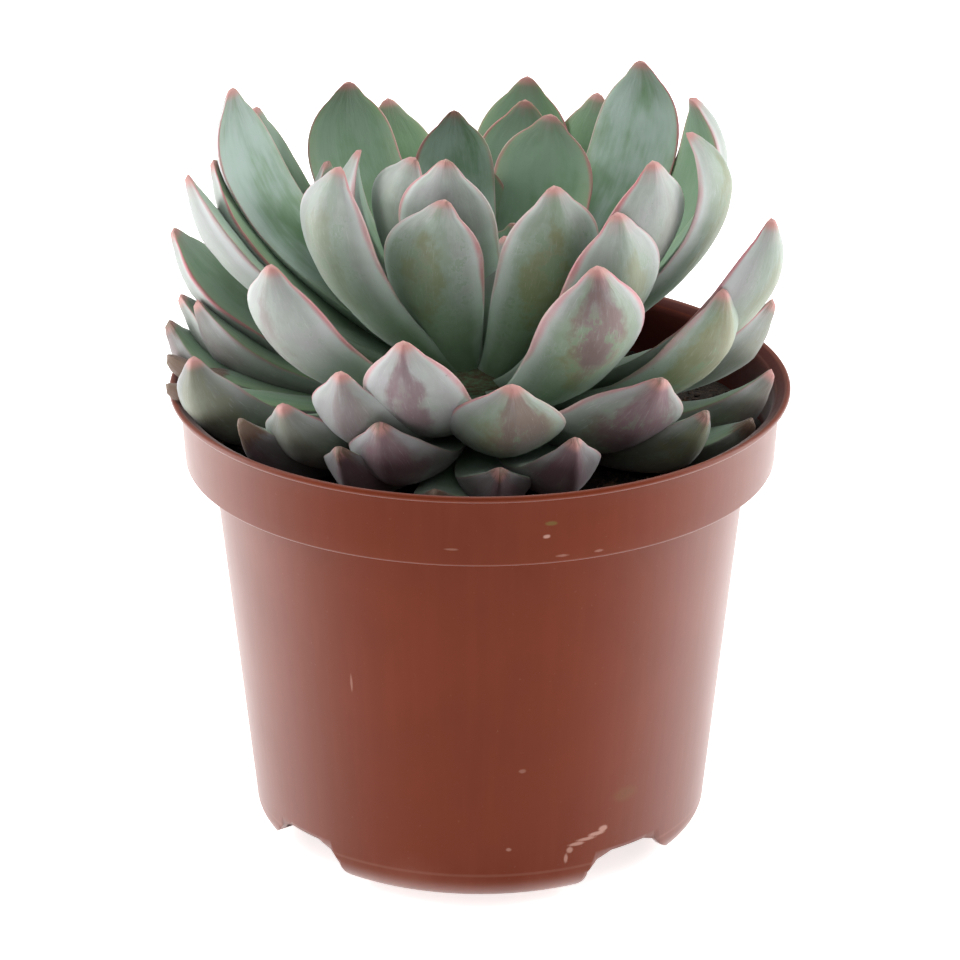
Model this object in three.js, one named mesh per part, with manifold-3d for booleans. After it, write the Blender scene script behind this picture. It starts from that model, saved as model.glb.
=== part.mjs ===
// A rosette succulent in a round plastic nursery pot: pot, growing medium and plant.
// Millimetres, +Z up. The origin is on the pot's axis at the level that its feet stand on,
// and the photograph's front is -Y.
import * as THREE from 'three';
import { mergeVertices } from 'three/addons/utils/BufferGeometryUtils.js';
import Module from 'manifold-3d';

// ---- Pot -----------------------------------------------------------------------------------
const POT_HEIGHT = 80.7;
const LIP_RADIUS = 52.5; // a 10.5 cm pot
const LIP_HEIGHT = 1.1;
const LIP_FLARE = 1.8; // height over which the wall turns outwards into the lip
const BAND_TOP_RADIUS = 50.7;
const BAND_BASE_RADIUS = 50.0;
const BAND_BASE_Z = 67.6;
const BODY_TOP_RADIUS = 45.3;
const BODY_BASE_RADIUS = 38.7;
const WALL = 1.2;
const HEEL = { across: 10, up: 6 }; // the skirt's rounded lower corner
const FOOT_INNER_RADIUS = 30.4; // the skirt ends in a narrow foot, level with the ground
const FOOT_WIDTH = 1.2;
const BASE_Z = 8.6; // underside of the base, which the skirt stands round
const FLOOR_CORNER = 3;
const NOTCH_COUNT = 4;
const FIRST_NOTCH_DEG = -50; // azimuth of the notch to the right of the front foot
const NOTCH_OUTLINE = [
  // across and up: an arch that is lower than the base, and slants down to a side foot
  [-8, -1], [17, -1], [16, 0.5], [8.6, 5], [6.4, 7.1], [3.6, 8.2], [-3.6, 8.2], [-6.4, 7.1], [-8, 5],
];
const DRAIN_RADIUS = 3.2;
const DRAIN_RING_RADIUS = 20;
const DRAIN_COUNT = 6;
const POT_SEGMENTS = 60;
const CORNER_STEPS = 4;

// ---- Growing medium ------------------------------------------------------------------------
const GAP = 0.3; // clearance between separate pieces
const SOIL_Z = 70.0;
const SOIL_LUMP = 0.7; // highest lump above SOIL_Z
const SOIL_SEGMENTS = 48;
const SOIL_RINGS = 7;

// ---- Plant ---------------------------------------------------------------------------------
const CROWN_Y = 4; // the stem stands a little behind the pot's axis
const CROWN_Z = 70; // height that the leaves' directions are measured from
const STEM_RADIUS = 5;
const STEM_FOOT_Z = 56;
const HEART_RADIUS = 9; // the stem's swollen top, which the leaves grow from
const HEART_Z = 78;
const HEART_TOP_Z = 88;
const LEAF_COUNT = 84;
const FIRST_AZIMUTH = 312;
const GOLDEN_ANGLE = 137.508;
const YOUNGEST_RISE = 80; // degrees above the level, falling to 0 at the oldest leaf
const REACH = { youngest: 36, longest: 64, oldest: 52 };
const FULL_REACH_AT = 20; // number of the first leaf that has its full reach
const SHORTENING = { from: 32, over: 28 }; // the leaves that get shorter again
const OVER_RIM = 1.2; // how far above the rim a tip lies where the leaf goes over it
const ROOT_RADIUS = 2.5; // where a leaf's midrib starts, well inside the heart
const ROOT_Z = { youngest: 82, oldest: 76 };
const LEAF_WIDTH = { youngest: 15, grown: 17.5, oldest: 12 };
const LEAF_THICKNESS = { youngest: 3.8, oldest: 9.2 };
const ROOT_BOW = { youngest: 14, grown: 36 }; // degrees below the leaf's chord
const TIP_BOW = { youngest: 22, grown: 46, oldest: 36 }; // degrees above the leaf's chord
const WIDEST_AT = 0.7; // share of the leaf's length from its root
const ROOT_SHARE = 0.35; // width at the root, as a share of the greatest
const TIP_ROUNDING = 0.12; // share of the length over which the tip thins out
const CHANNEL = 0.1; // depth of a young upper face's hollow, as a share of the width
const UPPER_BULGE = 0.15; // swelling of each face, as shares of the thickness
const LOWER_BULGE = -0.75;
const LEAF_RING = [
  // across the blade, -1 to 1, and the face it lies on: 1 upper, -1 lower, 0 either
  [-1, 0], [0, 1], [1, 0], [0.55, -1], [0, -1], [-0.55, -1],
];
const LEAF_STATIONS = [0, 0.2, 0.42, 0.62, 0.79, 0.92];

// Leaves that have dropped off, by their number in the spiral.
const LOST_LEAVES = [16, 24, 29, 33, 40, 44, 57, 70, 76, 78];

// Leaves that lean out of the spiral's order, by number: turn about the stem, lift (degrees),
// reach (mm), roll about the leaf's own length (degrees), width (mm), bow (degrees) and
// sideways sway of the tip (mm).
const LEANING_LEAVES = {
  2: [0, 0, -5, 0, 0, 0, 0],
  3: [-11, -3.5, 12, 3, 2, 0, 0],
  4: [-13, -1, 9, -6, -1.5, 0, 0],
  5: [0, 0, -8, 0, 0, 0, 0],
  6: [-7, 2, 2, 25, 2, 10, 0],
  7: [5, -14, 6, 0, 1, 0, 0],
  8: [0, 0, -13, 0, 0, 0, 0],
  9: [11, -12, -2, -5, 0, 10, 0],
  10: [0, 0, -16, 0, 0, 0, 0],
  11: [1, -3.5, -5, 4, 2, 5, 5],
  12: [0, 0, -12, 0, 0, 0, 0],
  13: [1, -10, 4, -20, 1.5, 0, 0],
  14: [-9, 1, -8, 0, -1, 0, 0],
  15: [5, 2, -8, 5, 2.5, -20, 0],
  17: [-5, -8, 0, -12, 0, 8, 0],
  18: [0, 0, -24, 0, 0, 0, 0],
  19: [-2, -1, -4, 5, 1, 12, 0],
  20: [-5, -6, -2, 0, 0, -15, 0],
  21: [-5, 4, -8, -8, 0.5, -10, 0],
  22: [-1, -6, 7, -17, 0, -5, 0],
  23: [7, 2, 3.5, 22, 0, 0, 0],
  25: [-1, -7, -3, 0, -1, -15, 0],
  26: [9, 2, 2, 5, 0.5, 32, 0],
  27: [-14, -10, 3, 5, 0, -22, 0],
  28: [-6, 1, -3, 0, -1, -10, 0],
  30: [5, -2, 2, 0, 0, 0, 0],
  31: [1, 7, 3, 12, 0, 16, 0],
  32: [-9, -8, -3, 12, 1, 0, 0],
  34: [-5, 7, -6, -15, 1, 5, 0],
  35: [-8, -1, 0, 0, 0, -25, 0],
  36: [10, 0, -4, 0, 0, 0, 0],
  37: [-9, -10, -5, 8, -0.5, 0, 0],
  38: [-5, -4, -6, 0, 0, 0, 0],
  39: [-9, -2, 4.5, -20, 0, 0, 0],
  42: [6, 6.5, -3, -14, 2, 0, -3],
  43: [13, -6, 2, -3, 0, -15, 0],
  45: [-3, -8, -6, 4, 0, 8, 0],
  47: [1, 1, -1, -18, 0, 5, 0],
  48: [-17, -10, -2, 4, 0, -15, 0],
  50: [0, -3, -4, -8, 3, 0, 0],
  52: [-7, -3, 0, -14, 0, -12, 0],
  53: [3, -8.5, -4, 20, 1, 5, 0],
  55: [-6.5, -0.8, -3, -28, 3, 0, 5.8],
  56: [9, 0, -0.5, 12, -1, -10, 0],
  58: [-6.5, -3, -2, 8, 1, 5, 0],
  60: [3, -5, 0, -18, -1, 0, 0],
  61: [-1, 0, 3, 40, 2, 25, 0],
  63: [0, -1, -3, 0, 0, 10, 0],
  65: [6, 0, -17, -15, 0, 0, 0],
  66: [5, -1, -3, 6, 0, 0, 0],
  68: [-1.5, 3, -2, -16, 1, 0, 0],
  69: [-6, 6, 3, 0, 1, 0, 0],
  71: [5, 2, -5, -3, 0, 0, 0],
  73: [7, -2, 0, 0, 1, 0, 0],
  74: [3, 7, 0, 8, 0, 0, 0],
  77: [18.5, 9.5, 1.6, 14, 0.5, -20, 0],
  79: [12, 5, -6, 0, -2, 0, 0],
  81: [2, 9, 1, 0, 0, 0, 0],
  82: [-2, 13.1, 2.6, 14, 0, -28, 0],
};
const UPRIGHT = [0, 0, 0, 0, 0, 0, 0];

const wasm = await Module();
wasm.setup();

const radians = THREE.MathUtils.degToRad;
const mix = THREE.MathUtils.lerp;
const clamp01 = (value) => THREE.MathUtils.clamp(value, 0, 1);
const smooth = (value) => THREE.MathUtils.smoothstep(value, 0, 1);

// ---- Joining and cutting -------------------------------------------------------------------
function solidOf(geometry) {
  const bare = geometry.clone();
  bare.deleteAttribute('normal');
  bare.deleteAttribute('uv');
  const merged = mergeVertices(bare, 1e-5);
  const vertProperties = new Float32Array(merged.attributes.position.array);
  const triVerts = new Uint32Array(merged.index.array);
  return new wasm.Manifold(new wasm.Mesh({ numProp: 3, vertProperties, triVerts }));
}

function geometryOf(solid) {
  const mesh = solid.getMesh();
  const geometry = new THREE.BufferGeometry();
  geometry.setAttribute('position', new THREE.BufferAttribute(mesh.vertProperties, 3));
  geometry.setIndex(new THREE.BufferAttribute(mesh.triVerts, 1));
  geometry.computeVertexNormals();
  return geometry;
}

// The largest connected piece, with any hollow sealed inside it filled.
function outerBody(solid) {
  return solid.decompose().reduce((best, part) => (part.volume() > best.volume() ? part : best));
}

// A profile of [radius, z] pairs turned about +Z.
function turned(profile, segments) {
  const points = profile.map(([radius, z]) => new THREE.Vector2(radius, z));
  return new THREE.LatheGeometry(points, segments).rotateX(Math.PI / 2);
}

// Points of a rounded corner, from one direction to another, both in degrees. It may be
// wider than it is high.
function corner(centre, across, up, from, to) {
  const points = [];
  for (let i = 0; i <= CORNER_STEPS; i += 1) {
    const angle = radians(mix(from, to, i / CORNER_STEPS));
    points.push([centre[0] + across * Math.cos(angle), centre[1] + up * Math.sin(angle)]);
  }
  return points;
}

// ---- Pot -----------------------------------------------------------------------------------
// Outer radius of the body at a height.
function bodyRadius(z) {
  return mix(BODY_BASE_RADIUS, BODY_TOP_RADIUS, (z - HEEL.up) / (BAND_BASE_Z - HEEL.up));
}

// The body and the skirt round its base, which comes down to the ground.
function potShell() {
  const lip = LIP_HEIGHT / 2;
  const heel = [BODY_BASE_RADIUS - HEEL.across, HEEL.up];
  const floor = BASE_Z + WALL;
  const floorCorner = floor + FLOOR_CORNER;
  const floorEdge = bodyRadius(floorCorner) - WALL - FLOOR_CORNER;
  const bandInner = BAND_TOP_RADIUS - WALL;
  return solidOf(turned([
    [0, BASE_Z],
    [bodyRadius(BASE_Z) - WALL, BASE_Z],
    ...corner(heel, HEEL.across - WALL, HEEL.up - WALL, 0, -79),
    [FOOT_INNER_RADIUS, 0],
    [FOOT_INNER_RADIUS + FOOT_WIDTH, 0],
    ...corner(heel, HEEL.across, HEEL.up, -70, 0),
    [BODY_TOP_RADIUS, BAND_BASE_Z],
    [BAND_BASE_RADIUS - 0.3, BAND_BASE_Z],
    [BAND_BASE_RADIUS, BAND_BASE_Z + 0.4],
    [BAND_TOP_RADIUS - 0.1, POT_HEIGHT - LIP_HEIGHT - 0.5],
    [BAND_TOP_RADIUS + 0.5, POT_HEIGHT - LIP_HEIGHT],
    ...corner([LIP_RADIUS - lip, POT_HEIGHT - lip], lip, lip, -90, 90),
    [LIP_RADIUS - LIP_HEIGHT, POT_HEIGHT - 0.2],
    [bandInner, POT_HEIGHT - LIP_FLARE],
    [BAND_BASE_RADIUS - WALL, BAND_BASE_Z + WALL],
    [BODY_TOP_RADIUS - WALL, BAND_BASE_Z + WALL],
    ...corner([floorEdge, floorCorner], FLOOR_CORNER, FLOOR_CORNER, 0, -90),
    [0, floor],
  ], POT_SEGMENTS));
}

// Arched notches through the skirt, which leave a foot between each two.
function notches() {
  const cutters = [];
  for (let i = 0; i < NOTCH_COUNT; i += 1) {
    const side = i % 2 === 0 ? 1 : -1;
    const points = NOTCH_OUTLINE.map(([across, up]) => new THREE.Vector2(side * across, up));
    const outline = new THREE.Shape(points);
    const azimuth = radians(FIRST_NOTCH_DEG + (i * 360) / NOTCH_COUNT);
    const notch = new THREE.ExtrudeGeometry(outline, { depth: LIP_RADIUS, bevelEnabled: false });
    notch.rotateX(Math.PI / 2).rotateZ(Math.PI / 2 + azimuth);
    cutters.push(solidOf(notch));
  }
  return wasm.Manifold.union(cutters);
}

function drainHole(azimuth, ringRadius) {
  const hole = new THREE.CylinderGeometry(DRAIN_RADIUS, DRAIN_RADIUS, 4 * WALL, 16);
  hole.rotateX(Math.PI / 2);
  hole.translate(ringRadius * Math.cos(azimuth), ringRadius * Math.sin(azimuth), BASE_Z + WALL / 2);
  return solidOf(hole);
}

function potGeometry() {
  let pot = potShell().subtract(notches()).subtract(drainHole(0, 0));
  for (let i = 0; i < DRAIN_COUNT; i += 1) {
    pot = pot.subtract(drainHole((i * 2 * Math.PI) / DRAIN_COUNT, DRAIN_RING_RADIUS));
  }
  return geometryOf(pot);
}

// ---- Growing medium ------------------------------------------------------------------------
// Height of the lumpy surface over SOIL_Z, 0 to SOIL_LUMP.
function lump(x, y) {
  const waves = Math.sin(0.31 * x + 1.7) * Math.sin(0.27 * y + 0.4)
    + 0.6 * Math.sin(0.55 * x - 0.48 * y) + 0.4 * Math.sin(0.9 * y + 0.7 * x + 2.1);
  return SOIL_LUMP * clamp01(0.5 + waves / 4);
}

function soilGeometry() {
  const ledge = BAND_BASE_Z + WALL + GAP;
  const bandInner = BAND_BASE_RADIUS - WALL - GAP;
  const bodyInner = BODY_TOP_RADIUS - WALL - GAP;
  const floorCorner = BASE_Z + WALL + FLOOR_CORNER;
  const floorEdge = bodyRadius(floorCorner) - WALL - FLOOR_CORNER;
  const rounding = FLOOR_CORNER - GAP;
  const surface = [];
  for (let i = 1; i < SOIL_RINGS; i += 1) {
    surface.push([bandInner * (1 - i / SOIL_RINGS), SOIL_Z]);
  }
  const filling = turned([
    [0, BASE_Z + WALL + GAP],
    ...corner([floorEdge, floorCorner], rounding, rounding, -90, 0),
    [bodyInner, ledge],
    [bandInner, ledge],
    [bandInner, SOIL_Z],
    ...surface,
    [0, SOIL_Z],
  ], SOIL_SEGMENTS);
  const position = filling.attributes.position;
  for (let i = 0; i < position.count; i += 1) {
    if (position.getZ(i) > SOIL_Z - 0.01) {
      position.setZ(i, SOIL_Z + lump(position.getX(i), position.getY(i)));
    }
  }
  const hole = turned([
    [0, STEM_FOOT_Z - GAP],
    [STEM_RADIUS + GAP, STEM_FOOT_Z - GAP],
    [STEM_RADIUS + GAP, SOIL_Z + 2 * SOIL_LUMP],
    [0, SOIL_Z + 2 * SOIL_LUMP],
  ], 16).translate(0, CROWN_Y, 0);
  return geometryOf(solidOf(filling).subtract(solidOf(hole)));
}

// ---- Leaves --------------------------------------------------------------------------------
// How far a leaf can reach from the stem along an azimuth before it meets the pot's wall,
// or, above the rim, the edge of the pot.
function room(azimuth, tipRise) {
  const overRim = CROWN_Z + tipRise > POT_HEIGHT + OVER_RIM;
  const radius = overRim ? LIP_RADIUS - 0.2 : BAND_BASE_RADIUS - WALL - 1.6;
  const across = CROWN_Y * Math.cos(azimuth);
  return Math.sqrt(radius * radius - across * across) - CROWN_Y * Math.sin(azimuth);
}

// The shape of leaf number n in the spiral, from its age and its own leaning.
function leafForm(n) {
  const age = n / (LEAF_COUNT - 1);
  const young = clamp01(age / 0.2);
  const old = smooth((age - 0.45) / 0.55);
  const [turn, lift, extra, roll, widening, bow, sway] = LEANING_LEAVES[n] ?? UPRIGHT;
  const azimuth = radians(FIRST_AZIMUTH - n * GOLDEN_ANGLE + turn);
  const rise = radians(YOUNGEST_RISE * (1 - age) + lift);
  const grown = Math.sin((Math.PI / 2) * clamp01(n / FULL_REACH_AT));
  const shortened = smooth((n - SHORTENING.from) / SHORTENING.over);
  const wanted = mix(mix(REACH.youngest, REACH.longest, grown), REACH.oldest, shortened) + extra;
  const reach = Math.min(wanted, room(azimuth, wanted * Math.sin(rise)) / Math.cos(rise));
  const root = [ROOT_RADIUS, mix(ROOT_Z.youngest, ROOT_Z.oldest, age)];
  const tip = [reach * Math.cos(rise), CROWN_Z + reach * Math.sin(rise)];
  const chordRise = Math.atan2(tip[1] - root[1], tip[0] - root[0]);
  const rootBow = radians(mix(ROOT_BOW.youngest, ROOT_BOW.grown, clamp01(age / 0.5)));
  const width = mix(mix(LEAF_WIDTH.youngest, LEAF_WIDTH.grown, young), LEAF_WIDTH.oldest, old) + widening;
  return {
    azimuth,
    root,
    tip,
    width,
    channel: CHANNEL * width * (1 - age),
    thickness: mix(LEAF_THICKNESS.youngest, LEAF_THICKNESS.oldest, age),
    rootBow: Math.min(rootBow, chordRise + radians(5)),
    tipBow: radians(mix(mix(TIP_BOW.youngest, TIP_BOW.grown, young), TIP_BOW.oldest, old) + bow),
    roll: radians(roll),
    sway,
  };
}

// Half the blade's width as a share of its greatest, from the root (0) to the tip (1).
function bladeShare(s) {
  const swelling = Math.sin((clamp01(s / WIDEST_AT) * Math.PI) / 2) ** 1.6;
  const narrowing = (1 - clamp01((s - WIDEST_AT) / (1 - WIDEST_AT)) ** 3) ** 0.8;
  return mix(ROOT_SHARE, 1, swelling) * narrowing;
}

// The blade's midrib: a curve in the upright plane at the leaf's azimuth that bows outwards.
function midrib({ root, tip, rootBow, tipBow }) {
  const start = new THREE.Vector2(...root);
  const end = new THREE.Vector2(...tip);
  const chord = end.clone().sub(start);
  const third = chord.length() / 3;
  const away = (angle) => new THREE.Vector2(third * Math.cos(angle), third * Math.sin(angle));
  return new THREE.CubicBezierCurve(
    start,
    start.clone().add(away(chord.angle() - rootBow)),
    end.clone().sub(away(chord.angle() + tipBow)),
    end,
  );
}

function leafSolid(form) {
  const rib = midrib(form);
  const outward = new THREE.Vector3(Math.cos(form.azimuth), Math.sin(form.azimuth), 0);
  const sideways = new THREE.Vector3(-outward.y, outward.x, 0);
  const crown = new THREE.Vector3(0, CROWN_Y, 0);
  const place = (point) => outward.clone().multiplyScalar(point.x).add(crown).setZ(point.y);
  const vertices = [];
  for (const s of LEAF_STATIONS) {
    const along = rib.getTangent(s);
    const centre = place(rib.getPoint(s)).addScaledVector(sideways, form.sway * s * s);
    const upper = outward.clone().multiplyScalar(-along.y).setZ(along.x);
    const turn = form.roll * s;
    const across = sideways.clone().multiplyScalar(Math.cos(turn)).addScaledVector(upper, Math.sin(turn));
    const normal = upper.clone().multiplyScalar(Math.cos(turn)).addScaledVector(sideways, -Math.sin(turn));
    const half = (form.width / 2) * bladeShare(s);
    const thinning = Math.min(1, 0.55 + 0.6 * s) * Math.sqrt(clamp01((1 - s) / TIP_ROUNDING));
    const channel = form.channel * Math.sin(Math.PI * (0.9 * s + 0.1));
    for (const [u, face] of LEAF_RING) {
      const swell = face > 0 ? UPPER_BULGE : LOWER_BULGE;
      const bulge = (1 - u * u) * form.thickness * thinning * swell;
      vertices.push(centre.clone().addScaledVector(across, u * half)
        .addScaledVector(normal, channel * u * u + bulge));
    }
  }
  vertices.push(place(rib.getPoint(1)).addScaledVector(sideways, form.sway));
  return solidOf(closedTube(vertices, LEAF_RING.length));
}

// Rings of points in order, closed by a flat cap at the first ring and a fan to the last point.
function closedTube(vertices, sides) {
  const rings = (vertices.length - 1) / sides;
  const tip = vertices.length - 1;
  const index = [];
  for (let j = 0; j < sides; j += 1) {
    const next = (j + 1) % sides;
    for (let i = 0; i < rings - 1; i += 1) {
      const a = i * sides + j;
      const b = i * sides + next;
      index.push(a, a + sides, b, b, a + sides, b + sides);
    }
    index.push((rings - 1) * sides + j, tip, (rings - 1) * sides + next);
    if (j > 0 && next > 0) index.push(0, j, next);
  }
  const geometry = new THREE.BufferGeometry().setFromPoints(vertices);
  geometry.setIndex(index);
  return geometry;
}

// ---- Plant: stem and leaves, grown together ------------------------------------------------
function stemSolid() {
  return solidOf(turned([
    [0, STEM_FOOT_Z],
    [STEM_RADIUS - 1, STEM_FOOT_Z],
    [STEM_RADIUS, STEM_FOOT_Z + 1],
    [STEM_RADIUS, SOIL_Z + 2 * SOIL_LUMP],
    [HEART_RADIUS, HEART_Z],
    [HEART_RADIUS - 2, HEART_Z + 5],
    [0, HEART_TOP_Z],
  ], 16).translate(0, CROWN_Y, 0));
}

// What the leaves stay clear of: the medium's surface, and the pot's wall and lip.
function keepOut() {
  const low = STEM_FOOT_Z - 10;
  const far = 2 * LIP_RADIUS;
  const surface = SOIL_Z + SOIL_LUMP + GAP;
  const medium = solidOf(turned([
    [STEM_RADIUS + GAP, low],
    [far, low],
    [far, surface],
    [STEM_RADIUS + GAP, surface],
    [STEM_RADIUS + GAP, low],
  ], 32).translate(0, CROWN_Y, 0));
  const wallInner = BAND_BASE_RADIUS - WALL - GAP;
  const wall = solidOf(turned([
    [wallInner, low],
    [far, low],
    [far, POT_HEIGHT + GAP],
    [wallInner, POT_HEIGHT + GAP],
    [wallInner, low],
  ], POT_SEGMENTS));
  return medium.add(wall);
}

function rosetteGeometry() {
  const solids = [stemSolid()];
  for (let n = 0; n < LEAF_COUNT; n += 1) {
    if (!LOST_LEAVES.includes(n)) solids.push(leafSolid(leafForm(n)));
  }
  const plant = wasm.Manifold.union(solids).subtract(keepOut());
  return geometryOf(outerBody(plant));
}

// ---- The object ----------------------------------------------------------------------------
function piece(name, geometry, color, roughness) {
  const material = new THREE.MeshStandardMaterial({ color, roughness, metalness: 0 });
  const mesh = new THREE.Mesh(geometry, material);
  mesh.name = name;
  return mesh;
}

const pottedSucculent = new THREE.Group();
pottedSucculent.add(piece('pot', potGeometry(), 0x8f4a38, 0.45));
pottedSucculent.add(piece('soil', soilGeometry(), 0x2e2620, 0.95));
pottedSucculent.add(piece('rosette', rosetteGeometry(), 0x8a9a8c, 0.6));

export default pottedSucculent;
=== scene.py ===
"""A rosette succulent in a round plastic nursery pot, laid out as an add-on.

Sizes in the property groups are metres, and the constants in millimetres say so.
The pot's axis is Z, its feet stand at Z = 0, and the camera looks from -Y.
"""
import math
import random

import bmesh
import bpy
from bpy.props import FloatProperty, FloatVectorProperty, IntProperty, PointerProperty
from mathutils import Matrix, Vector, noise


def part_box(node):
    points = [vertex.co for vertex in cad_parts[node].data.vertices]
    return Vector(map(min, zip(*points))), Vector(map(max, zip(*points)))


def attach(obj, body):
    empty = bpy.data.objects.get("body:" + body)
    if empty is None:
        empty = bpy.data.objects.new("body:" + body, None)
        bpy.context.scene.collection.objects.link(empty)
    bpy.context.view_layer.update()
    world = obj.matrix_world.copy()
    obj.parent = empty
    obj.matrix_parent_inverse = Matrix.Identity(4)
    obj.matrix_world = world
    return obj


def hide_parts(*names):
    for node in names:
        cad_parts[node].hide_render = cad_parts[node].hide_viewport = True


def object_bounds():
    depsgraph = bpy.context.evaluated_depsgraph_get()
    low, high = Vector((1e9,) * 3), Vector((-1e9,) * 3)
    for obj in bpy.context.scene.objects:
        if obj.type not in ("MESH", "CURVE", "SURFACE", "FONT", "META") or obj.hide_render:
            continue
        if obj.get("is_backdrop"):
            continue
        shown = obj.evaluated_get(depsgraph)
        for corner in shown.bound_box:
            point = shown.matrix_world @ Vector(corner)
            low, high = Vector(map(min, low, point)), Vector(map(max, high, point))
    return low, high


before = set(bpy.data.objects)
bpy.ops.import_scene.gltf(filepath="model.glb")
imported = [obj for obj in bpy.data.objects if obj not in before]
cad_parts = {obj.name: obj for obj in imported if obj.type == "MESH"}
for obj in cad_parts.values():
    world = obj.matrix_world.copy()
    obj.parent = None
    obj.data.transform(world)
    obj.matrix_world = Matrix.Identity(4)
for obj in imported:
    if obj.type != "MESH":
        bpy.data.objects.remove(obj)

bl_info = {
    "name": "Potted rosette succulent",
    "version": (1, 0, 0),
    "blender": (4, 5, 0),
    "location": "3D View > Sidebar > Succulent",
    "description": "Builds a rosette succulent in its nursery pot, with soil and a studio stage",
    "category": "Add Mesh",
}

CAD_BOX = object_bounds()
POT_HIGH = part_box("pot")[1]
BODY = "root"
MM = 0.001

# ---- Pot, in millimetres --------------------------------------------------------------------
LIP_HEIGHT = 1.1
LIP_FLARE = 1.8  # about how far below the top the inside wall turns outwards
BAND_TOP_RADIUS = 50.7
BAND_BASE_RADIUS = 50.0
BAND_BASE_Z = 67.6
BODY_TOP_RADIUS = 45.3
BODY_BASE_RADIUS = 38.7
HEEL_ACROSS = 10  # the rounded lower corner, which is wider than it is high
HEEL_UP = 6
MOULD_LINE_UP = 0.6  # above the heel
FOOT_INNER_RADIUS = 30.4  # the skirt ends in a narrow foot, level with the ground
FOOT_WIDTH = 1.2
BASE_Z = 8.6  # underside of the base, which the skirt stands round
FLOOR_CORNER = 3
NOTCH_COUNT = 4
FIRST_NOTCH_DEG = -50  # azimuth of the notch to the right of the front foot
NOTCH_REACH = (24, 60)  # how far from the axis a notch's cut starts and ends
NOTCH_OUTLINE = (  # across and up: an arch that slants down to a side foot
    (-8, -1), (17, -1), (16, 0.5), (8.6, 5), (6.4, 7.1), (3.6, 8.2), (-3.6, 8.2), (-6.4, 7.1), (-8, 5)
)
DRAIN_RADIUS = 3.2
DRAIN_RING_RADIUS = 20
DRAIN_COUNT = 6
DRAIN_CUT_DEPTH = 8
DRAIN_CUT_UP = 0.6  # middle of the cut, above the base's underside
POT_SEGMENTS = 240

# ---- Growing medium, in millimetres -----------------------------------------------------------
GAP = 0.3  # between the medium and the pot's wall
SOIL_Z = 70.0
BARK_FROM = 0.86  # a crumb whose kind, from 0 to 1, is above this is a bit of bark
PERLITE_FROM = 0.985  # and above this it is a mineral grain
SOIL_RINGS = 44
SOIL_SEGMENTS = 160

# ---- Plant, in millimetres and degrees ----------------------------------------------------------
CROWN_Y = 4  # the stem stands a little behind the pot's axis
CROWN_Z = 70  # height that the leaves' directions are measured from
STEM_RADIUS = 5
HEART_RADIUS = 9  # the stem's swollen top, which the leaves grow from
HEART_Z = 78
HEART_TOP_Z = 88
STEM_FOOT_Z = 56
LEAF_COUNT = 84
BUD_COUNT = 5  # folded leaves in the heart, numbered below 0
FIRST_AZIMUTH = 312
GOLDEN_ANGLE = 137.508
YOUNGEST_RISE = 80  # degrees above the level, falling to 0 at the oldest leaf
REACH = (36, 64, 52)  # youngest, longest, oldest
FULL_REACH_AT = 20
SHORTENING = (32, 28)  # first leaf that is shorter again, and over how many leaves
OVER_RIM = 1.2  # how far above the rim a tip lies where the leaf goes over it
WALL_CLEARANCE = 2.8  # from a low leaf's tip to the band's outside
LIP_CLEARANCE = 0.2  # from a high leaf's tip to the lip's edge
YOUNG_UNTIL = 0.2  # age, from 0 in the heart to 1 at the soil
OLD_FROM = 0.45
ROOT_RADIUS = 2.5  # where a leaf's midrib starts, well inside the heart
ROOT_Z = (82, 76)  # youngest, oldest
LEAF_WIDTH = (15, 17.5, 12)  # youngest, grown, oldest
LEAF_THICKNESS = (3.8, 9.2)  # youngest, oldest
ROOT_BOW = (14, 36)  # youngest, grown: degrees below the leaf's chord
BOWED_FROM = 0.5  # age at which a midrib has its full bow at the root
ROOT_DROP = 5  # a midrib leaves its root at most this steeply downwards
TIP_BOW = (22, 46, 36)  # youngest, grown, oldest: degrees above the leaf's chord
WIDEST_AT = 0.7  # share of the leaf's length from its root
ROOT_SHARE = 0.35  # width at the root, as a share of the greatest
SPIKE_FROM = 0.96  # share of the length where the leaf's point starts
SPIKE_HALF_WIDTH = 0.6
TIP_ROUNDING = 0.16  # share of the length over which the tip thins out
UPPER_BULGE = 0.15  # swelling of each face, as shares of the thickness
LOWER_BULGE = 0.75
CHANNEL = 0.1  # depth of a young upper face's hollow, as a share of the width
REST_ABOVE = 0.9  # a leaf's surface lies at least this far above the medium's level
WALL_RAMP = (48.4, 49.6, 8.4)  # radii between which leaves rise over the wall, and how far
LIP_RAMP = (49.6, 51.2, 1.8)  # and over the lip
LOST_LEAVES = (16, 24, 29, 33, 40, 44, 57, 70, 76, 78)

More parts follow.
